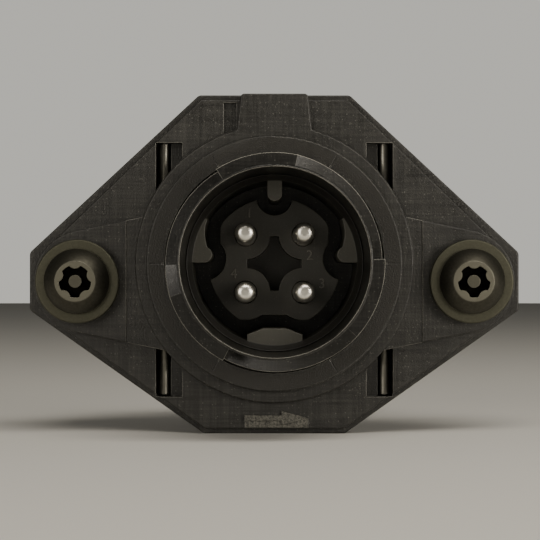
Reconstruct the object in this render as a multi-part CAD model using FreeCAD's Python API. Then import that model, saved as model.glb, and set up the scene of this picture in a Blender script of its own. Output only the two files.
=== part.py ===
import FreeCAD, Part
import math
import os

os.makedirs("parts", exist_ok=True)

# A four-pole flanged connector inlet with a twist-lock barrel. Sizes are in millimetres.
# The model is built with Z along the barrel's axis towards the mating side, Y up, X to the right and
# Z = 0 on the mounting face. save() then turns it so that the mating side faces -Y and Z is up.

Vec = FreeCAD.Vector
AXIS = Vec(0, 0, 1)
CENTRE = Vec(0, 0, 0)

# Clearances, edges and joints between pieces
running_gap = 0.1          # a piece that drops into another by hand
sliding_gap = 0.15         # the wire clip in its channel
seat_gap = 0.05            # a stacked piece and the next one
bayonet_gap = 0.35         # cam ring and flange lip
edge_break = 0.2           # worn front edges
weld = 0.5                 # how far fused features run into each other

# Barrel and mating interface
rim_height = 21.0          # mounting face to the barrel's rim
barrel_radius = 11.35
root_radius = barrel_radius - 0.25         # relief under the cams, clear of the plug's bore
mouth_radius = barrel_radius - 0.4
mouth_wall_radius = mouth_radius - 0.3      # the mouth tapers to this above the coding ring
socket_radius = 9.85       # inside the coding ring
ledge_height = 13.5        # front faces of the coding ribs
ring_bevel = 1.1           # height of the coding ring's front bevel
ring_outer_radius = 10.5
floor_height = 2.0         # front of the partition behind the socket
partition = 3.0

# Bayonet cams: each third has a flat lug, a steep ramp and a long ramp down to the channel's mouth
cam_count = 3
cam_start = 122.0          # angle of the first lug's end face, anticlockwise from +X
cam_radius = 13.15
cam_top = 14.5
lug_thickness = 2.2
lug_sweep = 44.0
stop_sweep = 8.0           # closed end of the channel under the lug
steep_sweep = 17.0
long_sweep = 57.0
ramp_middle = 12.5
channel_floor = 9.5

# Contacts
pin_radius = 1.25
pin_pitch = 7.07
pin_tip_height = 15.5
pin_tip_round = 0.9
pin_neck_radius = 1.05     # turned groove level with the carrier's face
pin_body_radius = 1.3      # inside the carrier
pin_recess_radius = 1.42   # mouth of the carrier's hole around the pin
pin_collar_radius = 1.9
pin_collar = 1.5
crimp_radius = 1.45
crimp_length = 4.5
wire_bore_radius = 1.0
wire_bore_depth = 3.6

# Contact carrier
carrier_height = 7.5       # front face
nose_radius = 8.1
top_notch_radius = 2.2
side_notch_radius = 2.7
side_notch_x = 8.65
side_notch_y = 0.6
shoulder_x = 6.65          # flat flanks beside the upper contacts
bottom_notch_half = 4.4
bottom_notch_reach = 6.32
bottom_lobe_radius = 3.42
star_half = 3.35
star_lobe_radius = 3.0
star_depth = 5.0
pin_recess_depth = 1.2
carrier_flange = 3.0
key_width = 1.8
key_height = 0.7

# Coding ribs in the socket
top_key_half = 0.87
top_key_reach = 7.43       # inner end of the top key
side_rib_nose_x = 8.45
side_rib_nose_y = 1.0
side_rib_nose_radius = 0.95
side_rib_clear_radius = 4.85
side_rib_top = 5.3
bottom_rib_half = 3.3
bottom_rib_flat_half = 1.4
bottom_rib_shoulder = 8.58
bottom_rib_reach = 7.86

# Flange
plate_height = 6.0
lip_thickness = plate_height - 1.0         # the wider rear part of the flange
plate_inset = 0.65
collar_height = plate_height + 1.0
collar_radius = 17.2
lip_ring_height = plate_height + 2.0
lip_ring_radius = 15.75
counterbore_depth = plate_height + 0.5
screw_y = -2.2             # the screws sit a little below the axis
top_half = 9.4
top_height = 21.0
bottom_half = 8.8
bottom_height = 21.1
half_length = 30.45
side_above = 3.6           # side flats, measured from the screw line
lip_corner = 0.8
band_height = plate_height + 0.8
band_step_x = collar_radius + 1.1
band_step_drop = 0.15
band_radius = 6.4
ear_x = half_length - plate_inset - band_radius - seat_gap   # centre of the rounded ear
band_slope = 0.2
band_inner_x = 9.0
tab_top_half = 4.15
tab_bottom_half = 4.7
tab_corner = 0.5
slot_width = 1.6
slot_top = top_height - 1.05
slot_floor = plate_height - 0.45
mark_line_width = 0.1
mark_line_depth = 0.05
mark_line_step = 60.0

# Moulded arrow
arrow_y = 2.0 - bottom_height
arrow_tail_x = -3.7
arrow_neck_x = 0.9
arrow_tip_x = 4.2
arrow_shaft_half = 0.34
arrow_head_half = 0.88
arrow_relief = 0.3
arrow_panel_low = 0.8 - bottom_height
arrow_panel_relief = 0.12

# Barrel housing behind the flange's front
disc_radius = 15.5
disc_height = counterbore_depth - running_gap
spigot_radius = 13.2
spigot_length = 13.0
rear_bore_radius = 10.6
seal_cord = 2.0
seal_groove_radius = 11.4
seal_groove_start = 5.0
seal_groove_width = 2.4
flange_seal_cord = 1.2
flange_seal_radius = 14.4

# Fixing screws: M4 with a five-lobe pin recess
screw_x = ear_x + 0.85
screw_radius = 2.0
shank_radius = 1.8         # unthreaded, inside the flange
screw_pitch = 0.7
screw_length = 16.0
thread_turns = 10
thread_crest = 0.1         # flat on each crest
thread_root = 1.65
head_radius = 4.0
head_height = 2.2
head_rim = 0.5             # straight side under the dome
recess_rim_radius = 2.45
recess_radius = 1.97
recess_depth = 2.0
recess_lobes = 5
valley_radius = 0.9
valley_centre = 2.45
recess_pin_radius = 0.78
washer_radius = 5.15
washer_thickness = 1.0
washer_bore = 2.2
sleeve_radius = 3.2
sleeve_bore = 2.3
sleeve_head_radius = 4.6
sleeve_head = 0.6

# Wire retaining clip
wire_radius = 0.75
clip_x = 13.8
clip_height = plate_height - 2.6           # wire centre above the mounting face
clip_bottom = -16.3
clip_bridge_half = 9.0
clip_bridge = top_height - 1.7
clip_shoulder = clip_bridge - 3.4
clip_bend = 1.6
window_inner_x = 11.4
window_pocket_floor = plate_height - 2.0
window_top = clip_shoulder - 0.9
window_end_gap = 0.2

# Rear closure
lock_thickness = 4.6
grommet_thickness = 3.5
grommet_rib = 0.35         # height and half width of each rib
grommet_ribs = 3
grommet_hole = 1.1
cap_plate = 2.0
cap_hole = 1.9
catch_recess = 1.0
catch_half = 3.0
catch_front = -8.5
catch_bump = 0.6           # how far the catch stands out
catch_bump_half = 1.4
catch_bump_front = 0.9     # its holding face, behind the recess's front end
catch_bump_length = 1.5
arm_window_half = 1.6

PIN_PLACES = [(-pin_pitch / 2, pin_pitch / 2), (pin_pitch / 2, pin_pitch / 2),
              (pin_pitch / 2, -pin_pitch / 2), (-pin_pitch / 2, -pin_pitch / 2)]


def disc(radius, low, high, x=0.0, y=0.0):
    """A cylinder along Z."""
    return Part.makeCylinder(radius, high - low, Vec(x, y, low))


def ring(inner, outer, low, high, x=0.0, y=0.0):
    """A tube along Z."""
    return disc(outer, low, high, x, y).cut(disc(inner, low, high, x, y))


def box(x0, x1, y0, y1, low, high):
    """A block between two corners."""
    return Part.makeBox(x1 - x0, y1 - y0, high - low, Vec(x0, y0, low))


def prism(points, low, high):
    """A straight-sided outline in X and Y, raised from low to high."""
    corners = [Vec(x, y, low) for x, y in points]
    return Part.Face(Part.makePolygon(corners + corners[:1])).extrude(Vec(0, 0, high - low))


def turned(profile, x=0.0, y=0.0):
    """A turned solid from (radius, height) points."""
    corners = [Vec(x + radius, y, height) for radius, height in profile]
    face = Part.Face(Part.makePolygon(corners + corners[:1]))
    return face.revolve(Vec(x, y, 0), AXIS, 360)


def sector(inner, outer, low, high, start, sweep):
    """Part of a tube: from angle start, anticlockwise by sweep."""
    wedge = Part.makeCylinder(outer, high - low, Vec(0, 0, low), AXIS, sweep)
    wedge.rotate(CENTRE, AXIS, start)
    return wedge.cut(disc(inner, low - weld, high + weld))


def mirrored(shape):
    """The same piece on the other side of the YZ plane."""
    return shape.mirror(CENTRE, Vec(1, 0, 0))


def both_sides(shape):
    """A feature and its mirror image."""
    return shape.fuse(mirrored(shape))


def inset(points, distance):
    """A convex outline moved inwards by distance."""
    moved = []
    for index, (x, y) in enumerate(points):
        here = Vec(x, y, 0)
        back = (Vec(*points[index - 1], 0) - here).normalize()
        ahead = (Vec(*points[(index + 1) % len(points)], 0) - here).normalize()
        half_angle = back.getAngle(ahead) / 2
        inward = (back + ahead).normalize() * (distance / math.sin(half_angle))
        moved.append((x + inward.x, y + inward.y))
    return moved


def rounded_prism(points, radii, low, high):
    """An outline with its corners rounded to radii, raised from low to high."""
    arcs = []
    for index, (x, y) in enumerate(points):
        here = Vec(x, y, low)
        back = (Vec(*points[index - 1], low) - here).normalize()
        ahead = (Vec(*points[(index + 1) % len(points)], low) - here).normalize()
        half_angle = back.getAngle(ahead) / 2
        reach = radii[index] / math.tan(half_angle)
        inward = Vec(back + ahead).normalize()
        middle = here + inward * (radii[index] / math.sin(half_angle) - radii[index])
        arcs.append((here + back * reach, middle, here + ahead * reach))
    edges = []
    for index, (start, middle, end) in enumerate(arcs):
        edges.append(Part.Arc(start, middle, end).toShape())
        edges.append(Part.makeLine(end, arcs[(index + 1) % len(arcs)][0]))
    return Part.Face(Part.Wire(edges)).extrude(Vec(0, 0, high - low))


def break_front_edge(solid, height, size):
    """Rounds the edges that lie in the plane Z = height."""
    front = [edge for edge in solid.Edges
             if abs(edge.BoundBox.ZMin - height) < 1e-6 and abs(edge.BoundBox.ZMax - height) < 1e-6]
    return solid.makeFillet(size, front)


def save(name, shape):
    """Turns a piece into the shared frame and writes it."""
    piece = shape.removeSplitter()
    piece.rotate(CENTRE, Vec(1, 0, 0), 90)
    piece.exportStep("parts/" + name + ".step")


def flange_outline():
    """The octagon of the flange's wider rear part."""
    side_top = screw_y + side_above
    side_bottom = screw_y - side_above
    return [(-top_half, top_height), (top_half, top_height), (half_length, side_top),
            (half_length, side_bottom), (bottom_half, -bottom_height), (-bottom_half, -bottom_height),
            (-half_length, side_bottom), (-half_length, side_top)]


def plate_shape(low, high):
    """The flange's front part: straight sides from the octagon's top and bottom to the rounded ears."""
    corners = inset(flange_outline(), plate_inset)
    top = Vec(*corners[1], low)
    bottom = Vec(*corners[4], low)
    ear = Vec(ear_x, screw_y, low)

    def on_ear(angle):
        return ear + Vec(math.cos(angle), math.sin(angle), 0) * band_radius

    def tangent_angle(corner, side):
        reach = corner - ear
        return math.atan2(reach.y, reach.x) - side * math.acos(band_radius / reach.Length)

    upper = on_ear(tangent_angle(top, 1))
    lower = on_ear(tangent_angle(bottom, -1))
    round_end = Part.Arc(upper, on_ear(0), lower).toShape()
    right = [Part.makeLine(top, upper), round_end, Part.makeLine(lower, bottom)]
    left = [mirrored(edge) for edge in reversed(right)]
    top_left = Vec(-top.x, top.y, low)
    bottom_left = Vec(-bottom.x, bottom.y, low)
    edges = right + [Part.makeLine(bottom, bottom_left)] + left + [Part.makeLine(top_left, top)]
    return Part.Face(Part.Wire(edges)).extrude(Vec(0, 0, high - low))


def ear_band(high):
    """The raised band from the collar out to the right-hand ear."""
    low = plate_height - weld
    meet = math.atan(band_slope)
    ear_side = ear_x + band_radius * math.sin(meet)
    ear_half = band_radius * math.cos(meet)
    inner_half = ear_half + band_slope * (ear_side - band_inner_x)
    wedge = prism([(band_inner_x, screw_y - inner_half), (ear_side, screw_y - ear_half),
                   (ear_side, screw_y + ear_half), (band_inner_x, screw_y + inner_half)], low, high)
    return break_front_edge(wedge.fuse(disc(band_radius, low, high, ear_x, screw_y)).removeSplitter(),
                            high, edge_break)


def clip_line():
    """Centre line points of the right half of the wire clip, from its free end to the bridge."""
    return [(clip_x, clip_bottom), (clip_x, clip_shoulder), (clip_bridge_half, clip_bridge), (0, clip_bridge)]


def clip_path():
    """The clip's centre line as straight runs joined by tangent arcs."""
    right = clip_line()[:3]
    points = [Vec(x, y, clip_height) for x, y in right + [(-x, y) for x, y in reversed(right)]]
    edges = []
    start = points[0]
    for before, here, after in zip(points, points[1:], points[2:]):
        back = (before - here).normalize()
        ahead = (after - here).normalize()
        half_angle = back.getAngle(ahead) / 2
        reach = clip_bend / math.tan(half_angle)
        inward = Vec(back + ahead).normalize()
        middle = here + inward * (clip_bend / math.sin(half_angle) - clip_bend)
        edges.append(Part.makeLine(start, here + back * reach))
        edges.append(Part.Arc(here + back * reach, middle, here + ahead * reach).toShape())
        start = here + ahead * reach
    edges.append(Part.makeLine(start, points[-1]))
    return Part.Wire(edges)


def clip_channels():
    """Everything cut from the flange so that the clip slides in from above and shows in four windows."""
    low = clip_height - wire_radius - sliding_gap
    high = clip_height + wire_radius + sliding_gap
    half = wire_radius + sliding_gap
    bottom = clip_bottom - window_end_gap
    collar_reach = math.sqrt(collar_radius ** 2 - (clip_x + half) ** 2)
    above = plate_height + weld
    leg = box(clip_x - half, clip_x + half, bottom, clip_shoulder + 2 * half, low, high)
    behind_collar = box(clip_x - half, clip_x + half, -collar_reach, collar_reach, -weld, high)
    cuts = [leg, behind_collar]
    for start, end in ((bottom, 0.0), (0.0, window_top)):
        wire_window = box(clip_x - half, clip_x + half, start, end, low, above)
        pocket = box(window_inner_x, clip_x - half + weld, start, end, window_pocket_floor, above)
        cuts.append(wire_window.fuse(pocket).cut(disc(collar_radius, low - weld, above + weld)))
    right = multi_fuse(cuts)
    # The bridge and shoulders lie in a pocket that is open behind and above
    margin = half + sliding_gap
    rise = clip_bridge - clip_shoulder
    run = clip_x - clip_bridge_half
    shift = margin * math.hypot(rise, run) / run - margin * rise / run
    pocket = prism([(-clip_x - half, clip_shoulder - shift), (-clip_x + margin, clip_shoulder - shift),
                    (-clip_bridge_half, clip_bridge - margin), (clip_bridge_half, clip_bridge - margin),
                    (clip_x - margin, clip_shoulder - shift), (clip_x + half, clip_shoulder - shift),
                    (clip_x + half, top_height + weld), (-clip_x - half, top_height + weld)], -weld, high)
    return both_sides(right).fuse(pocket)


def multi_fuse(shapes):
    """Joins a list of shapes."""
    joined = shapes[0]
    for shape in shapes[1:]:
        joined = joined.fuse(shape)
    return joined


def flange_plate():
    outline = flange_outline()
    lip = rounded_prism(outline, [lip_corner] * len(outline), 0, lip_thickness)
    lip = break_front_edge(lip, lip_thickness, edge_break)
    plate = break_front_edge(plate_shape(lip_thickness - weld, plate_height), plate_height, edge_break)
    bands = both_sides(ear_band(band_height))
    step = box(0, band_step_x, -collar_radius, collar_radius,
               band_height - band_step_drop, band_height + weld)
    bands = bands.cut(both_sides(step))
    collar = disc(collar_radius, plate_height - weld, collar_height)
    collar = break_front_edge(collar, collar_height, edge_break)
    lip_ring = disc(lip_ring_radius, plate_height, lip_ring_height)
    lip_ring = break_front_edge(lip_ring, lip_ring_height, edge_break)
    tab = rounded_prism([(-tab_top_half, top_height), (tab_top_half, top_height),
                         (tab_bottom_half, lip_ring_radius), (-tab_bottom_half, lip_ring_radius)],
                        [tab_corner] * 4, lip_thickness - weld, collar_height)
    tab = break_front_edge(tab, collar_height, edge_break)
    body = multi_fuse([lip, plate, bands, collar, lip_ring, tab])
    slot = box(-tab_bottom_half - slot_width, -tab_bottom_half, lip_ring_radius - weld, slot_top,
               slot_floor, plate_height + weld).cut(disc(collar_radius, 0, plate_height + 2 * weld))
    counterbore = disc(disc_radius + running_gap, -weld, counterbore_depth)
    through = disc(cam_radius + bayonet_gap, 0, lip_ring_height + weld)
    ears = disc(sleeve_radius + seat_gap, -weld, band_height + weld, screw_x, screw_y)
    body = body.cut(multi_fuse([slot, counterbore, through, both_sides(ears), clip_channels()]))
    marks = []
    for index in range(round(360 / mark_line_step)):
        mark = box(cam_radius, lip_ring_radius - 2 * edge_break, -mark_line_width / 2, mark_line_width / 2,
                   lip_ring_height - mark_line_depth, lip_ring_height + weld)
        mark.rotate(CENTRE, AXIS, index * mark_line_step)
        marks.append(mark)
    body = body.cut(multi_fuse(marks))
    arrow = prism([(arrow_tail_x, arrow_y - arrow_shaft_half), (arrow_neck_x, arrow_y - arrow_shaft_half),
                   (arrow_neck_x, arrow_y - arrow_head_half), (arrow_tip_x, arrow_y),
                   (arrow_neck_x, arrow_y + arrow_head_half), (arrow_neck_x, arrow_y + arrow_shaft_half),
                   (arrow_tail_x, arrow_y + arrow_shaft_half)],
                  plate_height - weld, plate_height + arrow_relief)
    panel = box(arrow_tail_x, arrow_tip_x, arrow_panel_low, arrow_y, plate_height - weld,
                plate_height + arrow_panel_relief)
    return body.fuse(panel).fuse(arrow)


def ramp(start, sweep, low, high):
    """A helical ramp on the cam ring that climbs anticlockwise from low to high."""
    pitch = (high - low) * 360 / sweep
    inner_edge = Part.makeHelix(pitch, high - low, root_radius - weld).Edges[0]
    outer_edge = Part.makeHelix(pitch, high - low, cam_radius + weld).Edges[0]
    solid = Part.makeRuledSurface(inner_edge, outer_edge).extrude(Vec(0, 0, channel_floor - high - weld))
    solid.translate(Vec(0, 0, low))
    solid.rotate(CENTRE, AXIS, start)
    return solid.common(disc(cam_radius, channel_floor - weld, high + weld))


def bayonet_cam(end_face):
    """One third of the cam ring, clockwise from the lug's end face."""
    inner = root_radius - weld
    lug = sector(inner, cam_radius, cam_top - lug_thickness, cam_top, end_face - lug_sweep, lug_sweep)
    stop = sector(inner, cam_radius, channel_floor - weld, cam_top, end_face - lug_sweep, stop_sweep)
    steep_start = end_face - lug_sweep - steep_sweep
    steep = ramp(steep_start, steep_sweep, ramp_middle, cam_top)
    long_ramp = ramp(steep_start - long_sweep, long_sweep, channel_floor, ramp_middle)
    return multi_fuse([lug, stop, steep, long_ramp])


def nose_shape(grow, low, high):
    """The carrier's lobed nose, or the opening for it when grow is the clearance."""
    nose = disc(nose_radius + grow, low, high)
    margin = nose_radius + 2 * weld
    cuts = [disc(top_notch_radius - grow, low, high, 0, nose_radius),
            disc(side_notch_radius - grow, low, high, side_notch_x, side_notch_y),
            disc(side_notch_radius - grow, low, high, -side_notch_x, side_notch_y)]
    flank = prism([(shoulder_x + grow, side_notch_y), (margin, side_notch_y), (margin, nose_radius),
                   (shoulder_x - weld + grow, nose_radius - side_notch_radius),
                   (shoulder_x + grow, nose_radius - side_notch_radius - 2 * weld)], low, high)
    bottom = box(-bottom_notch_half, bottom_notch_half, -margin, -bottom_notch_reach - grow, low, high)
    for x, y in PIN_PLACES[2:]:
        bottom = bottom.cut(disc(bottom_lobe_radius + grow, low, high, x, y))
    return nose.cut(multi_fuse(cuts + [both_sides(flank), bottom]))


def key(grow, low, high):
    """The indexing key at the top of the rear bore, or its notch when grow is the clearance."""
    return box(-key_width / 2 - grow, key_width / 2 + grow, rear_bore_radius - key_height - grow,
               rear_bore_radius + weld / 2, low, high)


def barrel_housing():
    partition_rear = floor_height - partition
    plug_stop = cam_top + running_gap
    outside = multi_fuse([
        break_front_edge(disc(barrel_radius, plug_stop, rim_height), rim_height, edge_break),
        disc(root_radius, 0, plug_stop),
        disc(cam_radius, 0, channel_floor),
        disc(disc_radius, 0, disc_height),
        disc(spigot_radius, -spigot_length, 0)])
    for index in range(cam_count):
        outside = outside.fuse(bayonet_cam(cam_start - index * 360 / cam_count))
    ring_top = ledge_height + ring_bevel
    socket = turned([(0, floor_height), (rear_bore_radius, floor_height), (rear_bore_radius, ring_top),
                     (mouth_wall_radius, ring_top + weld), (mouth_radius, rim_height - edge_break),
                     (mouth_radius + edge_break / 2, rim_height), (mouth_radius, rim_height + weld),
                     (0, rim_height + weld)])
    rear = disc(rear_bore_radius, -spigot_length - weld, partition_rear).cut(
        key(0, -spigot_length + cap_plate, partition_rear + weld))
    opening = nose_shape(running_gap, partition_rear - weld, floor_height + weld)
    seal_groove = ring(seal_groove_radius, spigot_radius + weld, -seal_groove_start - seal_groove_width,
                       -seal_groove_start)
    face_groove = ring(flange_seal_radius - flange_seal_cord / 2 - seat_gap,
                       flange_seal_radius + flange_seal_cord / 2 + seat_gap,
                       counterbore_depth - flange_seal_cord, disc_height + weld)
    clip_inner = clip_x - wire_radius - running_gap
    clip_groove = box(clip_inner, disc_radius + weld, -disc_radius, disc_radius,
                      clip_height - wire_radius - sliding_gap, clip_height + wire_radius + sliding_gap)
    recess = box(spigot_radius - catch_recess, spigot_radius + weld, -catch_half, catch_half,
                 -spigot_length - weld, catch_front)
    body = outside.cut(multi_fuse([socket, rear, opening, seal_groove, face_groove,
                                   both_sides(clip_groove), both_sides(recess)]))
    face = spigot_radius - catch_recess
    hold = catch_front - catch_bump_front
    bump = Part.Face(Part.makePolygon([
        Vec(face - weld / 2, 0, hold), Vec(face + catch_bump, 0, hold),
        Vec(face, 0, hold - catch_bump_length), Vec(face - weld / 2, 0, hold - catch_bump_length),
        Vec(face - weld / 2, 0, hold)])).extrude(Vec(0, 2 * catch_bump_half, 0))
    bump.translate(Vec(0, -catch_bump_half, 0))
    return body.fuse(both_sides(bump))


def coding_ring():
    ring_top = ledge_height + ring_bevel
    shell = turned([(socket_radius, floor_height), (ring_outer_radius, floor_height),
                    (ring_outer_radius, ring_top), (socket_radius, ledge_height)])
    reach = socket_radius + weld
    end_round = top_key_reach + top_key_half
    top_key = box(-top_key_half, top_key_half, end_round, reach, floor_height, ledge_height).fuse(
        disc(top_key_half, floor_height, ledge_height, 0, end_round))
    pin_x, pin_y = PIN_PLACES[1]
    side_rib_low = side_rib_nose_y - side_rib_nose_radius
    side_rib = box(pin_x, reach, side_rib_low, side_rib_top, floor_height, ledge_height).cut(
        disc(side_rib_clear_radius, floor_height, ledge_height, pin_x, pin_y))
    side_rib = side_rib.cut(box(0, side_rib_nose_x, -weld, pin_y - side_rib_clear_radius / 2,
                                floor_height, ledge_height))
    nose = disc(side_rib_nose_radius, floor_height, ledge_height, side_rib_nose_x, side_rib_nose_y)
    side_rib = side_rib.fuse(nose)
    bottom_rib = prism([(-bottom_rib_half, -reach), (bottom_rib_half, -reach),
                        (bottom_rib_half, -bottom_rib_shoulder), (bottom_rib_flat_half, -bottom_rib_reach),
                        (-bottom_rib_flat_half, -bottom_rib_reach), (-bottom_rib_half, -bottom_rib_shoulder)],
                       floor_height, ledge_height)
    ribs = multi_fuse([top_key, both_sides(side_rib), bottom_rib])
    inside = disc((socket_radius + ring_outer_radius) / 2, floor_height, ledge_height)
    return shell.fuse(ribs.common(inside))


def contact_carrier():
    partition_rear = floor_height - partition
    flange_rear = partition_rear - carrier_flange
    nose = nose_shape(0, partition_rear - weld, carrier_height)
    flange = disc(rear_bore_radius - running_gap, flange_rear, partition_rear).cut(
        key(running_gap, flange_rear - weld, partition_rear + weld))
    body = nose.fuse(flange)
    front = carrier_height + weld
    star = box(-star_half, star_half, -star_half, star_half, carrier_height - star_depth, front)
    for x, y in PIN_PLACES:
        star = star.cut(disc(star_lobe_radius, 0, carrier_height + 2 * weld, x, y))
        hole = disc(pin_body_radius + seat_gap, flange_rear - weld, front, x, y)
        recess = disc(pin_recess_radius, carrier_height - pin_recess_depth, front, x, y)
        shoulder = disc(pin_collar_radius + seat_gap, flange_rear - weld, flange_rear + pin_collar, x, y)
        body = body.cut(multi_fuse([hole, recess, shoulder]))
    return body.cut(star)


def contact_pin(x, y):
    collar_rear = floor_height - partition - carrier_flange
    collar_front = collar_rear + pin_collar
    body_front = carrier_height - pin_recess_depth
    shaft = disc(pin_radius, carrier_height + running_gap, pin_tip_height, x, y)
    shaft = break_front_edge(shaft, pin_tip_height, pin_tip_round)
    shaft = shaft.fuse(disc(pin_neck_radius, body_front, carrier_height + running_gap, x, y))
    shaft = shaft.fuse(disc(pin_body_radius, collar_front, body_front, x, y))
    collar = disc(pin_collar_radius, collar_rear, collar_front, x, y)
    rear = collar_rear - crimp_length
    crimp = disc(crimp_radius, rear, collar_rear, x, y)
    bore = disc(wire_bore_radius, rear - weld, rear + wire_bore_depth, x, y)
    return shaft.fuse(collar).fuse(crimp).cut(bore)


def contact_lock():
    front = floor_height - partition - carrier_flange - seat_gap
    rear = front - lock_thickness
    plate = disc(rear_bore_radius - running_gap, rear, front).cut(key(running_gap, rear - weld, front + weld))
    for x, y in PIN_PLACES:
        plate = plate.cut(disc(crimp_radius + running_gap, rear - weld, front + weld, x, y))
    return plate


def grommet_span():
    """Rear and front heights of the wire grommet."""
    front = floor_height - partition - carrier_flange - lock_thickness - 2 * seat_gap
    return front - grommet_thickness, front


def wire_grommet():
    rear, front = grommet_span()
    body = disc(rear_bore_radius - grommet_rib - running_gap, rear, front)
    for index in range(grommet_ribs):
        middle = rear + (index + 0.5) * grommet_thickness / grommet_ribs
        body = body.fuse(disc(rear_bore_radius - running_gap, middle - grommet_rib, middle + grommet_rib))
    body = body.cut(key(running_gap, rear - weld, front + weld))
    for x, y in PIN_PLACES:
        body = body.cut(disc(grommet_hole, rear - weld, front + weld, x, y))
    return body


def grommet_cap():
    rear, _ = grommet_span()
    plate_rear = -spigot_length - cap_plate
    plate = disc(spigot_radius - running_gap, plate_rear, -spigot_length - seat_gap)
    boss = disc(rear_bore_radius - 2 * running_gap, plate_rear, rear - seat_gap)
    arm_inner = spigot_radius - catch_recess + running_gap
    arm = box(arm_inner, spigot_radius, -catch_half + running_gap, catch_half - running_gap,
              plate_rear, catch_front - running_gap)
    arm = arm.common(disc(spigot_radius - running_gap, plate_rear - weld, 0))
    hold = catch_front - catch_bump_front
    arm_window = box(arm_inner - weld, spigot_radius + weld, -arm_window_half, arm_window_half,
                     hold - catch_bump_length - 2 * running_gap, hold + running_gap)
    body = multi_fuse([plate, boss, both_sides(arm)]).cut(both_sides(arm_window))
    body = body.cut(key(running_gap, -spigot_length, 0))
    for x, y in PIN_PLACES:
        body = body.cut(disc(cap_hole, plate_rear - weld, weld, x, y))
    return body


def seal_ring(radius, cord, height):
    """An O-ring of a cord diameter on a centre radius."""
    return Part.makeTorus(radius, cord / 2, Vec(0, 0, height), AXIS)


def retaining_clip():
    start = Vec(clip_x, clip_bottom, clip_height)
    section = Part.Wire(Part.Circle(start, Vec(0, 1, 0), wire_radius).toShape())
    return clip_path().makePipeShell([section], True, False)


def compression_sleeve():
    top = band_height + sleeve_head
    body = disc(sleeve_radius, 0, top, screw_x, screw_y)
    head = disc(sleeve_head_radius, band_height, top, screw_x, screw_y)
    return body.fuse(head).cut(disc(sleeve_bore, -weld, top + weld, screw_x, screw_y))


def head_seat():
    """Height of the face under the screw head."""
    return band_height + sleeve_head + washer_thickness


def washer():
    top = head_seat()
    body = disc(washer_radius, top - washer_thickness, top, screw_x, screw_y)
    body = break_front_edge(body, top, edge_break)
    return body.cut(disc(washer_bore, top - washer_thickness - weld, top + weld, screw_x, screw_y))


def fixing_screw():
    seat = head_seat()
    top = seat + head_height
    tip = seat - screw_length
    drop = head_height - head_rim
    # The dome is part of the sphere through the head's rim and the recess's rim
    centre = (recess_rim_radius ** 2 - head_radius ** 2 + drop ** 2) / (2 * drop)
    sphere_radius = math.hypot(head_radius, centre)
    dome = Part.makeSphere(sphere_radius, Vec(screw_x, screw_y, seat + head_rim + centre))
    head = disc(head_radius, seat, top, screw_x, screw_y).common(dome)
    recess = disc(recess_radius, top - recess_depth, top + weld, screw_x, screw_y)
    for index in range(recess_lobes):
        angle = math.radians(90 + index * 360 / recess_lobes)
        recess = recess.cut(disc(valley_radius, top - recess_depth - weld, top + 2 * weld,
                                 screw_x + valley_centre * math.cos(angle),
                                 screw_y + valley_centre * math.sin(angle)))
    pin = disc(recess_pin_radius, top - recess_depth - weld, top - edge_break, screw_x, screw_y)
    recess = recess.cut(pin)
    thread_start = tip + thread_turns * screw_pitch
    profile = [(0, seat + weld), (shank_radius, seat + weld), (shank_radius, thread_start)]
    for index in range(thread_turns, 0, -1):
        crest = tip + index * screw_pitch
        profile.append((screw_radius, crest - thread_crest / 2))
        profile.append((thread_root, crest - screw_pitch / 2))
        profile.append((screw_radius, crest - screw_pitch + thread_crest / 2))
    profile[-1] = (thread_root, tip)
    profile.append((0, tip))
    return head.fuse(turned(profile, screw_x, screw_y)).cut(recess)


def on_left(shape):
    """The right-hand ear's piece moved, unturned, to the left-hand ear."""
    return shape.translated(Vec(-2 * screw_x, 0, 0))


save("flange_plate", flange_plate())
save("barrel_housing", barrel_housing())
save("coding_ring", coding_ring())
save("contact_carrier", contact_carrier())
for number, place in enumerate(PIN_PLACES, 1):
    save("contact_pin_" + str(number), contact_pin(*place))
save("contact_lock", contact_lock())
save("wire_grommet", wire_grommet())
save("grommet_cap", grommet_cap())
save("panel_seal", seal_ring(seal_groove_radius + seal_cord / 2, seal_cord,
                             -seal_groove_start - seal_groove_width / 2))
save("flange_seal", seal_ring(flange_seal_radius, flange_seal_cord, counterbore_depth - flange_seal_cord / 2))
save("retaining_clip", retaining_clip())
for name, make in (("sleeve", compression_sleeve), ("washer", washer), ("screw", fixing_screw)):
    save(name + "_right", make())
    save(name + "_left", on_left(make()))
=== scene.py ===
import bmesh
import bpy
import math
from mathutils import Matrix, Vector


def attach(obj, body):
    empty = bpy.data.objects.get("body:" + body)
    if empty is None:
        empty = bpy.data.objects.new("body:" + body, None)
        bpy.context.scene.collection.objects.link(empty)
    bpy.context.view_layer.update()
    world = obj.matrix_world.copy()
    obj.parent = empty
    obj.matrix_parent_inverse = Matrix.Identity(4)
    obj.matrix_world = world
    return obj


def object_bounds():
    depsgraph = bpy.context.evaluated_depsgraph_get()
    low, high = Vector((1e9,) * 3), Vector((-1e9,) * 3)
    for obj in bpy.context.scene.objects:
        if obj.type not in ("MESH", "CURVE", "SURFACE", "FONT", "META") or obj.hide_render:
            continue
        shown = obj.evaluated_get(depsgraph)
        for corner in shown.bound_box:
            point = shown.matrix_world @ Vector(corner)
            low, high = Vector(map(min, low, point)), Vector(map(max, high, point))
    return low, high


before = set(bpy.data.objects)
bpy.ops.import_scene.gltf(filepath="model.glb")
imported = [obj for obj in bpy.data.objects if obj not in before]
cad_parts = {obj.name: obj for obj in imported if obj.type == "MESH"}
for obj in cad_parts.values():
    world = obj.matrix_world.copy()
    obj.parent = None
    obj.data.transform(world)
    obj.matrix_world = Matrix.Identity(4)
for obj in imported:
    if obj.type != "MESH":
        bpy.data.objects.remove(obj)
cad_low, cad_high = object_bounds()

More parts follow.
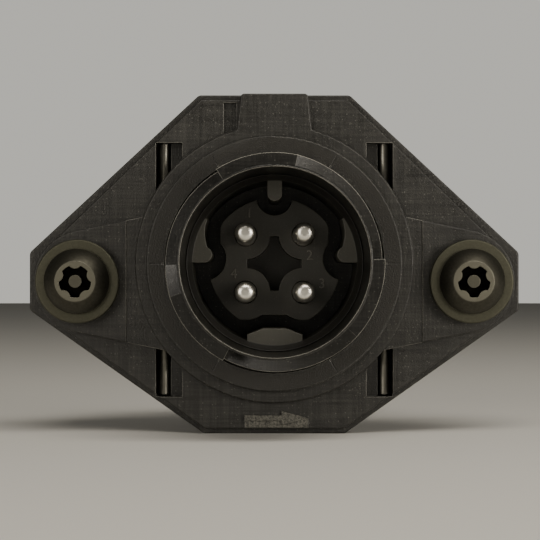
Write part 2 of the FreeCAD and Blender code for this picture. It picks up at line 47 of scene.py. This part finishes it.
# Studio: a plain pale floor that the flange's lower edge stands on, a pale backdrop, and soft lamps to the
# left, to the right and above. The camera stands just under the barrel's axis and looks into the socket.
MM = 0.001
floor_radius = 1.5
floor_patches_per_metre = 3.0
camera_place = Vector((-0.00117, -0.216, -0.0026))
camera_aim = Vector((-0.00055, -0.008, -0.0008))
camera_lens = 113.0
socket_centre = Vector((0, -0.012, 0))
softboxes = (       # name, place, width, height, watts
    ("left_softbox", (-0.30, -0.42, 0.05), 0.22, 0.34, 1.0),
    ("right_softbox", (0.26, -0.235, -0.01), 0.20, 0.28, 1.35),
    ("top_softbox", (0.10, -0.26, 0.42), 0.50, 0.16, 1.5))


def linear(code):
    """An sRGB hex colour as the linear RGBA that shaders take."""
    values = [int(code[place:place + 2], 16) / 255 for place in (0, 2, 4)]
    return [v / 12.92 if v <= 0.04045 else ((v + 0.055) / 1.055) ** 2.4 for v in values] + [1.0]


def add(tree, kind, links=None, **settings):
    """A shader node with its settings, and its sockets linked to other sockets or set to values."""
    node = tree.nodes.new("ShaderNode" + kind)
    for name, value in settings.items():
        setattr(node, name, value)
    for socket, value in (links or {}).items():
        if isinstance(value, bpy.types.NodeSocket):
            tree.links.new(value, node.inputs[socket])
        else:
            node.inputs[socket].default_value = value
    return node


def new_material(name):
    """An empty material and its node tree."""
    material = bpy.data.materials.new(name)
    material.use_nodes = True
    material.node_tree.nodes.clear()
    return material, material.node_tree


def finish_material(tree, shader):
    """Links a shader to the material's output."""
    add(tree, "OutputMaterial", {"Surface": shader.outputs["BSDF"]})


def mesh_piece(name, shape):
    """A bmesh made into an object of the scene."""
    mesh = bpy.data.meshes.new(name)
    shape.to_mesh(mesh)
    shape.free()
    piece = bpy.data.objects.new(name, mesh)
    bpy.context.scene.collection.objects.link(piece)
    return piece


floor_shape = bmesh.new()
bmesh.ops.create_circle(floor_shape, cap_ends=True, segments=96, radius=floor_radius,
                        matrix=Matrix.Translation((0, 0, cad_low.z)))
floor = mesh_piece("studio_floor", floor_shape)

# Matt wall paint, rolled on: an even pale ground with hardly visible patches and no reflections
painted_floor, tree = new_material("matt_painted_floor")
coords = add(tree, "TexCoord")
patches = add(tree, "TexNoise", {"Vector": coords.outputs["Object"], "Scale": floor_patches_per_metre,
                                 "Detail": 2.0})
paint = add(tree, "Mix", {"Factor": patches.outputs["Fac"], "A": linear("dcdad4"), "B": linear("e2e0da")},
            data_type="RGBA")
finish_material(tree, add(tree, "BsdfPrincipled", {"Base Color": paint.outputs["Result"], "Roughness": 0.85}))
floor.data.materials.append(painted_floor)

# The camera sees the backdrop at full strength, but only a little of it lights the connector
world = bpy.data.worlds.new("studio_air")
bpy.context.scene.world = world
world.use_nodes = True
tree = world.node_tree
tree.nodes.clear()
seen = add(tree, "Background", {"Color": linear("c4c2bb"), "Strength": 1.0})
glow = add(tree, "Background", {"Color": linear("c4c2bb"), "Strength": 0.14})
path = add(tree, "LightPath")
air = add(tree, "MixShader", {0: path.outputs["Is Camera Ray"], 1: glow.outputs[0], 2: seen.outputs[0]})
add(tree, "OutputWorld", {"Surface": air.outputs[0]})

for name, place, width, height, watts in softboxes:
    lamp = bpy.data.lights.new(name, "AREA")
    lamp.shape = "RECTANGLE"
    lamp.size = width
    lamp.size_y = height
    lamp.energy = watts
    lamp.color = linear("fff8ec")[:3]
    holder = bpy.data.objects.new(name, lamp)
    holder.location = place
    holder.rotation_euler = (socket_centre - Vector(place)).to_track_quat("-Z", "Y").to_euler()
    bpy.context.scene.collection.objects.link(holder)

lens = bpy.data.cameras.new("studio_camera")
lens.lens = camera_lens
lens.clip_start = 0.01
camera = bpy.data.objects.new("studio_camera", lens)
camera.location = camera_place
camera.rotation_euler = (camera_aim - camera_place).to_track_quat("-Z", "Y").to_euler()
bpy.context.scene.collection.objects.link(camera)
bpy.context.scene.camera = camera

# Flange plate: one moulding in black nylon with 30 percent glass fibre, with the collar, ear bands, top tab,
# clip windows and arrow all in one. It lies flat on a housing, under the two screws.
arrow_ceiling = -17.9 * MM          # nothing else so low stands in front of arrow_face
arrow_face = -6.06 * MM
ring_middle = 14.65 * MM            # radius in the middle of the lip ring's face
ring_half_width = 0.75 * MM
ring_face = -7.93 * MM
grit_size = 0.3 * MM


def moulded(name, dark, pale, flecks_wear_and_highlight, grain_mm, grain_depth_mm, roughness, spread, streaks, wear):
    """A moulded polymer: clouds, filler flecks, tool marks, mould grain, and proud corners paler with wear
    and painted highlight.
    """
    cloud_size, speckle_size, fleck_spacing = 4 * MM, 0.45 * MM, 0.5 * MM
    mark_spacing, mark_length, mark_depth = 0.25 * MM, 6 * MM, 4 * MM
    corner_radius, shelter_reach = 0.12 * MM, 0.5 * MM
    material, tree = new_material(name)
    coords = add(tree, "TexCoord").outputs["Object"]
    clouds = add(tree, "TexNoise", {"Vector": coords, "Scale": 1 / cloud_size, "Detail": 6.0,
                                    "Roughness": 0.65})
    body = add(tree, "Mix", {"Factor": clouds.outputs["Fac"], "A": linear(dark), "B": linear(pale)},
               data_type="RGBA")
    # Short glass fibres near the skin, drawn coarser than real ones so that they show
    flecks = add(tree, "TexVoronoi", {"Vector": coords, "Scale": 1 / fleck_spacing})
    fleck_mask = add(tree, "MapRange", {"Value": flecks.outputs["Distance"], "From Min": 0.04,
                                        "From Max": 0.2, "To Min": 0.25, "To Max": 0.0})
    flecked = add(tree, "Mix", {"Factor": fleck_mask.outputs["Result"], "A": body.outputs["Result"],
                                "B": linear(flecks_wear_and_highlight)}, data_type="RGBA")
    # Upright and level marks of the mould's tool, long in one direction and close together in the other
    upright = add(tree, "Mapping", {"Vector": coords, "Scale": (1 / mark_spacing, 1 / mark_depth,
                                                                1 / mark_length)})
    level = add(tree, "Mapping", {"Vector": coords, "Scale": (1 / mark_length, 1 / mark_depth,
                                                              1 / mark_spacing)})
    upright_marks = add(tree, "TexNoise", {"Vector": upright.outputs["Vector"], "Scale": 1.0, "Detail": 2.0})
    level_marks = add(tree, "TexNoise", {"Vector": level.outputs["Vector"], "Scale": 1.0, "Detail": 2.0})
    marks = add(tree, "Math", {0: upright_marks.outputs["Fac"], 1: level_marks.outputs["Fac"]},
                operation="ADD")
    streak_mask = add(tree, "MapRange", {"Value": marks.outputs["Value"], "From Min": 0.85, "From Max": 1.35,
                                         "To Min": 0.0, "To Max": streaks})
    streaked = add(tree, "Mix", {"Factor": streak_mask.outputs["Result"], "A": flecked.outputs["Result"],
                                 "B": linear(flecks_wear_and_highlight)}, data_type="RGBA")
    # A corner is where the rounded normal leaves the face's own normal
    rounded = add(tree, "Bevel", {"Radius": corner_radius}, samples=8)
    facing = add(tree, "NewGeometry")
    agreement = add(tree, "VectorMath", {0: rounded.outputs["Normal"], 1: facing.outputs["Normal"]},
                    operation="DOT_PRODUCT")
    corner = add(tree, "MapRange", {"Value": agreement.outputs["Value"], "From Min": 0.995, "From Max": 0.92,
                                    "To Min": 0.0, "To Max": wear})
    # Wear and painted edge highlight come in chips, and only on corners that stand proud: inner corners stay
    # dark
    chips = add(tree, "MapRange", {"Value": clouds.outputs["Fac"], "From Min": 0.3, "From Max": 0.6,
                                   "To Min": 0.35, "To Max": 1.0})
    open_air = add(tree, "AmbientOcclusion", {"Distance": shelter_reach}, samples=6)
    proud = add(tree, "MapRange", {"Value": open_air.outputs["AO"], "From Min": 0.8, "From Max": 0.97})
    chipped = add(tree, "Math", {0: corner.outputs["Result"], 1: chips.outputs["Result"]},
                  operation="MULTIPLY")
    rubbed_and_highlit = add(tree, "Math", {0: chipped.outputs["Value"], 1: proud.outputs["Result"]},
                 operation="MULTIPLY")
    # Proud corners are painted pale: partly wear, and partly a painted highlight for light catching the edges
    colour = add(tree, "Mix", {"Factor": rubbed_and_highlit.outputs["Value"], "A": streaked.outputs["Result"],
                               "B": linear(flecks_wear_and_highlight)}, data_type="RGBA")
    # Handled and unhandled patches, finely speckled, shine differently
    speckle = add(tree, "TexNoise", {"Vector": coords, "Scale": 1 / speckle_size, "Detail": 3.0,
                                     "Roughness": 0.7})
    sheen = add(tree, "Math", {0: clouds.outputs["Fac"], 1: speckle.outputs["Fac"]}, operation="ADD")
    gloss = add(tree, "MapRange", {"Value": sheen.outputs["Value"], "From Min": 0.75, "From Max": 1.25,
                                   "To Min": roughness - spread, "To Max": roughness + spread})
    grain = add(tree, "TexNoise", {"Vector": coords, "Scale": 1 / (grain_mm * MM), "Detail": 2.0})
    bump = add(tree, "Bump", {"Height": grain.outputs["Fac"], "Distance": grain_depth_mm * MM,
                              "Normal": rounded.outputs["Normal"]})
    finish_material(tree, add(tree, "BsdfPrincipled", {
        "Base Color": colour.outputs["Result"], "Roughness": gloss.outputs["Result"],
        "Normal": bump.outputs["Normal"], "IOR": 1.5}))
    return material


def axis_distance(tree, across, up):
    """How far a point lies from an axis along Y, from its two offsets."""
    offsets = add(tree, "CombineXYZ", {"X": across, "Y": up})
    return add(tree, "VectorMath", {0: offsets.outputs["Vector"]}, operation="LENGTH").outputs["Value"]


def lay_over(tree, mask, colour):
    """Covers a finished material's colour with another wherever the mask is 1."""
    shader = next(node for node in tree.nodes if node.type == "BSDF_PRINCIPLED")
    under = shader.inputs["Base Color"].links[0].from_socket
    covered = add(tree, "Mix", {"Factor": mask, "A": under, "B": colour}, data_type="RGBA")
    tree.links.new(covered.outputs["Result"], shader.inputs["Base Color"])


def dress(node, material):
    """Gives a CAD node its material."""
    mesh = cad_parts[node].data
    mesh.materials.clear()
    mesh.materials.append(material)


# Glass-filled nylon from a spark-eroded mould: a dull, grainy near-black with fine crossed streaks, and
# pale corners, partly rubbed by hands and partly a painted highlight
flange_nylon = moulded("glass_filled_nylon_flange", dark="100f0d", pale="24231f", flecks_wear_and_highlight="9d9b92", grain_mm=0.2,
                       grain_depth_mm=0.05, roughness=0.44, spread=0.1, streaks=0.06, wear=0.8)
tree = flange_nylon.node_tree
coords = add(tree, "TexCoord").outputs["Object"]
place = add(tree, "SeparateXYZ", {"Vector": coords})
grit = add(tree, "TexNoise", {"Vector": coords, "Scale": 1 / grit_size, "Detail": 4.0, "Roughness": 0.8})
# The arrow's raised face is scuffed, so it looks rough and pale
low_enough = add(tree, "Math", {0: place.outputs["Z"], 1: arrow_ceiling}, operation="LESS_THAN")
raised = add(tree, "Math", {0: place.outputs["Y"], 1: arrow_face}, operation="LESS_THAN")
arrow_mask = add(tree, "Math", {0: low_enough.outputs["Value"], 1: raised.outputs["Value"]},
                 operation="MULTIPLY")
grit_tone = add(tree, "MapRange", {"Value": grit.outputs["Fac"], "From Min": 0.4, "From Max": 0.62})
scuffed = add(tree, "Mix", {"Factor": grit_tone.outputs["Result"], "A": linear("2b2a26"),
                            "B": linear("6f6d64")}, data_type="RGBA")
lay_over(tree, arrow_mask.outputs["Value"], scuffed.outputs["Result"])
# The lip ring's face with its six fine mark lines gets neither wear nor painted edge highlight, so it stays
# as dark as the mould left it
radius = axis_distance(tree, place.outputs["X"], place.outputs["Z"])
on_ring = add(tree, "Math", {0: radius, 1: ring_middle, 2: ring_half_width}, operation="COMPARE")
ring_front = add(tree, "Math", {0: place.outputs["Y"], 1: ring_face}, operation="LESS_THAN")
ring_mask = add(tree, "Math", {0: on_ring.outputs["Value"], 1: ring_front.outputs["Value"]},
                operation="MULTIPLY")
plain_ring_face = add(tree, "Mix", {"Factor": grit.outputs["Fac"], "A": linear("181714"), "B": linear("2a2823")},
               data_type="RGBA")
lay_over(tree, ring_mask.outputs["Value"], plain_ring_face.outputs["Result"])
dress("flange_plate", flange_nylon)

# Barrel housing: the round socket, its three twist-lock cams, its base disc and its rear spigot, moulded in
# one from the flange's nylon. It goes into the flange from behind, and the wire clip locks it there.
# Glass-filled nylon from a polished mould: darker and glossier than the flange, with a pale rim, partly worn
# and partly a painted highlight
barrel_nylon = moulded("glass_filled_nylon_barrel", dark="0d0c0a", pale="161512", flecks_wear_and_highlight="a8a69c",
                       grain_mm=0.22, grain_depth_mm=0.025, roughness=0.36, spread=0.06, streaks=0.04,
                       wear=1.0)
dress("barrel_housing", barrel_nylon)

# Coding ring: a ribbed liner pressed into the barrel, moulded in polyester. Its top key, side ribs and bottom
# rib let in only the plug that has the same code.
# Polyester, moulded: smooth, with mid grey rib fronts, and painted shade darkening the sloping lip outside
coding_polyester = moulded("polyester_coding_ring", dark="3a3933", pale="43423b", flecks_wear_and_highlight="77756b", grain_mm=0.3,
                           grain_depth_mm=0.01, roughness=0.45, spread=0.04, streaks=0.05, wear=0.5)
rib_edge, lip_edge = 9.75 * MM, 9.9 * MM
tree = coding_polyester.node_tree
place = add(tree, "SeparateXYZ", {"Vector": add(tree, "TexCoord").outputs["Object"]})
radius = axis_distance(tree, place.outputs["X"], place.outputs["Z"])
# Painted shade: the sloping lip outside the ribs is coloured near black for the shade it lies in
lip_shade_mask = add(tree, "MapRange", {"Value": radius, "From Min": rib_edge, "From Max": lip_edge})
lay_over(tree, lip_shade_mask.outputs["Result"], linear("171613"))
dress("coding_ring", coding_polyester)

# Contact carrier: the lobed insert that holds the four contacts, moulded in unfilled nylon. It goes into the
# barrel from behind, and its nose stands in an opening of the same shape.
# Nylon, moulded: smooth and evenly dark grey, a little glossier than the flange
carrier_nylon = moulded("nylon_contact_carrier", dark="32312c", pale="393833", flecks_wear_and_highlight="6f6d64", grain_mm=0.3,
                        grain_depth_mm=0.015, roughness=0.42, spread=0.05, streaks=0.03, wear=0.6)
dress("contact_carrier", carrier_nylon)

# Contact numbers: 1 to 4 beside the contacts, moulded in one with the carrier and raised a tenth of a
# millimetre from its face.
# The same nylon, rubbed: a little paler and shinier than the face around it
number_nylon = moulded("nylon_contact_numbers", dark="4a4841", pale="5c5a52", flecks_wear_and_highlight="8f8d84", grain_mm=0.3,
                       grain_depth_mm=0.005, roughness=0.3, spread=0.03, streaks=0.0, wear=0.6)
number_height = 1.7 * MM
number_half_thickness = 0.06 * MM
number_rise = 0.04 * MM             # middle of the number's thickness above the face
number_weld = 0.002 * MM
number_places = ((-3.1, 6.2), (4.35, 1.0), (5.85, -2.5), (-5.0, -1.3))      # across and up, in mm
carrier_front = min(corner[1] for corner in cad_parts["contact_carrier"].bound_box)
for number, (across_mm, up_mm) in enumerate(number_places, 1):
    name = "contact_number_" + str(number)
    digit = bpy.data.curves.new(name, "FONT")
    digit.body = str(number)
    digit.size = number_height
    digit.extrude = number_half_thickness
    digit.align_x = "CENTER"
    digit.align_y = "CENTER"
    outline = bpy.data.objects.new("digit_outline", digit)
    bpy.context.scene.collection.objects.link(outline)
    bpy.context.view_layer.update()
    shape = bmesh.new()
    shape.from_mesh(outline.to_mesh())
    bpy.data.objects.remove(outline)
    bmesh.ops.remove_doubles(shape, verts=shape.verts, dist=number_weld)
    stand_up = Matrix.Rotation(math.radians(90), 4, "X")
    to_place = Matrix.Translation((across_mm * MM, carrier_front - number_rise, up_mm * MM))
    bmesh.ops.transform(shape, verts=shape.verts, matrix=to_place @ stand_up)
    bmesh.ops.recalc_face_normals(shape, faces=shape.faces)
    raised_number = mesh_piece(name, shape)
    raised_number.data.materials.append(number_nylon)
    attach(raised_number, "connector")


# Contacts: four round pins turned from copper alloy and plated, with a crimp barrel behind. They are pushed
# into the carrier from behind until their collars seat.
def plain_metal(name, base, tint, roughness, worn_roughness, patch_mm, wear):
    """A metal surface: patches that differ in tone and gloss, and corners rubbed bright."""
    corner_radius, pit_depth = 0.12 * MM, 0.01 * MM
    material, tree = new_material(name)
    coords = add(tree, "TexCoord").outputs["Object"]
    patches = add(tree, "TexNoise", {"Vector": coords, "Scale": 1 / (patch_mm * MM), "Detail": 4.0})
    body = add(tree, "Mix", {"Factor": patches.outputs["Fac"], "A": linear(base), "B": linear(tint)},
               data_type="RGBA")
    rounded = add(tree, "Bevel", {"Radius": corner_radius}, samples=6)
    facing = add(tree, "NewGeometry")
    agreement = add(tree, "VectorMath", {0: rounded.outputs["Normal"], 1: facing.outputs["Normal"]},
                    operation="DOT_PRODUCT")
    corner = add(tree, "MapRange", {"Value": agreement.outputs["Value"], "From Min": 0.995, "From Max": 0.85,
                                    "To Min": 0.0, "To Max": wear})
    colour = add(tree, "Mix", {"Factor": corner.outputs["Result"], "A": body.outputs["Result"],
                               "B": linear("c8c6ba")}, data_type="RGBA")
    gloss = add(tree, "MapRange", {"Value": patches.outputs["Fac"], "To Min": roughness,
                                   "To Max": worn_roughness})
    bump = add(tree, "Bump", {"Height": patches.outputs["Fac"], "Distance": pit_depth,
                              "Normal": rounded.outputs["Normal"]})
    finish_material(tree, add(tree, "BsdfPrincipled", {
        "Base Color": colour.outputs["Result"], "Metallic": 1.0, "Roughness": gloss.outputs["Result"],
        "Normal": bump.outputs["Normal"]}))
    return material


# Tin plating: the brightest thing on the connector, a warm silvery white with soft highlights
tin_plating = plain_metal("bright_tin_plating", base="f8f5ec", tint="e6e3d8", roughness=0.24,
                          worn_roughness=0.36, patch_mm=0.8, wear=0.2)
for number in range(1, 5):
    dress("contact_pin_" + str(number), tin_plating)

# Lock plate: a moulded polyester disc behind the contacts' collars that stops them from backing out. It is
# pushed in once all four contacts are in.
# Polyester, moulded: plain rust red, so that an assembler sees whether it is there
lock_polyester = moulded("polyester_lock_plate", dark="6e2a17", pale="7d3420", flecks_wear_and_highlight="a8583f", grain_mm=0.4,
                         grain_depth_mm=0.02, roughness=0.45, spread=0.04, streaks=0.1, wear=0.6)
dress("contact_lock", lock_polyester)

# Wire grommet: one silicone mat with a ribbed edge and four holes, squeezed into the barrel's rear bore. It
# keeps water out along the wires.
# Silicone, moulded: matt orange-brown with hardly any wear
silicone = moulded("silicone_grommet", dark="a2481f", pale="b05226", flecks_wear_and_highlight="bf6a40", grain_mm=0.5,
                   grain_depth_mm=0.02, roughness=0.55, spread=0.05, streaks=0.0, wear=0.2)
dress("wire_grommet", silicone)

# Grommet cap: the rear cap that keeps the grommet in, moulded in black nylon and snapped onto the spigot by
# two side catches.
# Glass-filled nylon, moulded: dull black with slightly pale corners, partly rubbed and partly a painted
# highlight
cap_nylon = moulded("glass_filled_nylon_cap", dark="171613", pale="21201c", flecks_wear_and_highlight="7d7b72", grain_mm=0.25,
                    grain_depth_mm=0.03, roughness=0.46, spread=0.06, streaks=0.07, wear=0.6)
dress("grommet_cap", cap_nylon)

# Seals: two moulded rubber O-rings, one in the spigot's groove for the panel's hole and one in the flange's
# face groove for the barrel's base disc. The first is stretched into place and the second laid in.
# Nitrile rubber: matt black and even, without pale edges
seal_rubber = moulded("nitrile_rubber", dark="161615", pale="1c1c1a", flecks_wear_and_highlight="2a2a28", grain_mm=0.3,
                      grain_depth_mm=0.02, roughness=0.6, spread=0.05, streaks=0.0, wear=0.1)
dress("panel_seal", seal_rubber)
dress("flange_seal", seal_rubber)

# Retaining clip: one length of stainless spring wire bent into a bridge and two legs. It slides into the
# flange from above, and its legs show in the four windows.
# Drawn spring steel: mid grey with a soft sheen along the wire
spring_steel = plain_metal("drawn_spring_steel", base="8a8880", tint="6c6a61", roughness=0.3,
                           worn_roughness=0.42, patch_mm=0.6, wear=0.1)
dress("retaining_clip", spring_steel)

# Sleeves: turned steel tubes with a head, dropped into the flange's ears. They take the screws' clamping
# force instead of the nylon.
# Zinc-plated steel: dull grey with slightly brighter edges
sleeve_zinc = plain_metal("zinc_plated_sleeve", base="57544a", tint="494639", roughness=0.45,
                          worn_roughness=0.6, patch_mm=0.8, wear=0.6)
for side in ("left", "right"):
    dress("sleeve_" + side, sleeve_zinc)

# Washers: flat steel rings punched from sheet, loose under the screws' heads. Each moves out with its screw.
# Olive zinc plating: dull, mottled olive grey, with edges worn to bright steel
washer_zinc = plain_metal("olive_zinc_washer", base="5b5a4e", tint="46463b", roughness=0.46,
                          worn_roughness=0.62, patch_mm=0.35, wear=1.0)
for side in ("left", "right"):
    dress("washer_" + side, washer_zinc)

# Screws: two cold-headed M4 screws with a dome head and a five-lobe recess around a pin, which a plain driver
# can't turn. They hold the flange to the housing through the sleeves.
# Dark zinc plating: mottled dark olive, bright on the corners that the driver rubs
screw_zinc = plain_metal("dark_zinc_screw", base="55534a", tint="3a3932", roughness=0.4, worn_roughness=0.55,
                         patch_mm=0.35, wear=0.9)
washer_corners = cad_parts["washer_right"].bound_box
screw_x = (min(corner[0] for corner in washer_corners) + max(corner[0] for corner in washer_corners)) / 2
screw_z = (min(corner[2] for corner in washer_corners) + max(corner[2] for corner in washer_corners)) / 2
head_top = min(corner[1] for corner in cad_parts["screw_right"].bound_box)
land_start, land_end = 2.35 * MM, 2.6 * MM     # the recess's flat rim fades out between these radii
top_start, top_end = 0.15 * MM, 0.35 * MM      # and the head's top between these depths
tree = screw_zinc.node_tree
place = add(tree, "SeparateXYZ", {"Vector": add(tree, "TexCoord").outputs["Object"]})
side_x = add(tree, "Math", {0: place.outputs["X"]}, operation="ABSOLUTE")
off_x = add(tree, "Math", {0: side_x.outputs["Value"], 1: screw_x}, operation="SUBTRACT")
off_z = add(tree, "Math", {0: place.outputs["Z"], 1: screw_z}, operation="SUBTRACT")
radius = axis_distance(tree, off_x.outputs["Value"], off_z.outputs["Value"])
near_axis = add(tree, "MapRange", {"Value": radius, "From Min": land_end, "From Max": land_start})
on_top = add(tree, "MapRange", {"Value": place.outputs["Y"], "From Min": head_top + top_end,
                                "From Max": head_top + top_start})
# The driver polishes the flat rim and the pin's top, and the recess below them is coloured near black
polish = add(tree, "Math", {0: near_axis.outputs["Result"], 1: on_top.outputs["Result"]},
             operation="MULTIPLY")
in_recess = add(tree, "Math", {0: near_axis.outputs["Result"], 1: on_top.outputs["Result"]},
                operation="SUBTRACT", use_clamp=True)
lay_over(tree, polish.outputs["Value"], linear("706e62"))
lay_over(tree, in_recess.outputs["Value"], linear("14130f"))
for side in ("left", "right"):
    dress("screw_" + side, screw_zinc)
